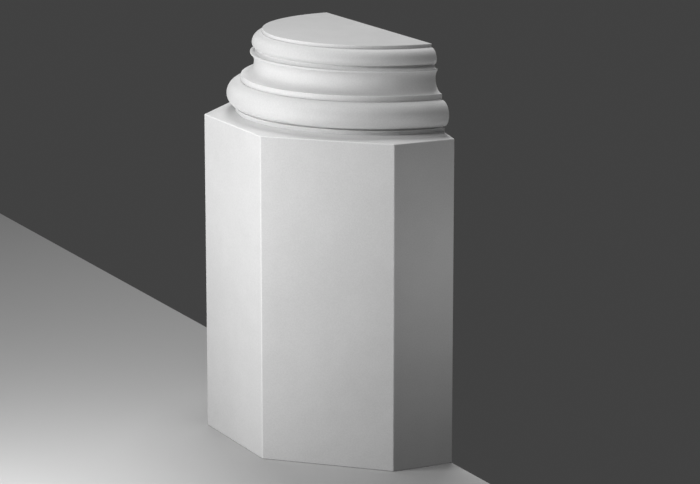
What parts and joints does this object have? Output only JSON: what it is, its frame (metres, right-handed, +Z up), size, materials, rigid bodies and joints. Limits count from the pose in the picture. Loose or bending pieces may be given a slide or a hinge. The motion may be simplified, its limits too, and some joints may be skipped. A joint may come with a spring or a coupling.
{
  "type": "half column pedestal",
  "caption": "Half-octagonal plinth with a half-round moulded base, flat at the back, that carries a half column's shaft against a wall.",
  "frame": {"origin": "on the floor, under the middle of the casting's box", "axes": "+Z up the column, +Y into the wall behind the flat back, +X along the wall"},
  "size_m": [0.4, 0.1984, 0.5055],
  "materials": {
    "white_primed_foam": "matt white primer on smooth rigid foam"
  },
  "bodies": {
    "root": {"half_column_pedestal": "white_primed_foam"}
  },
  "joints": []
}
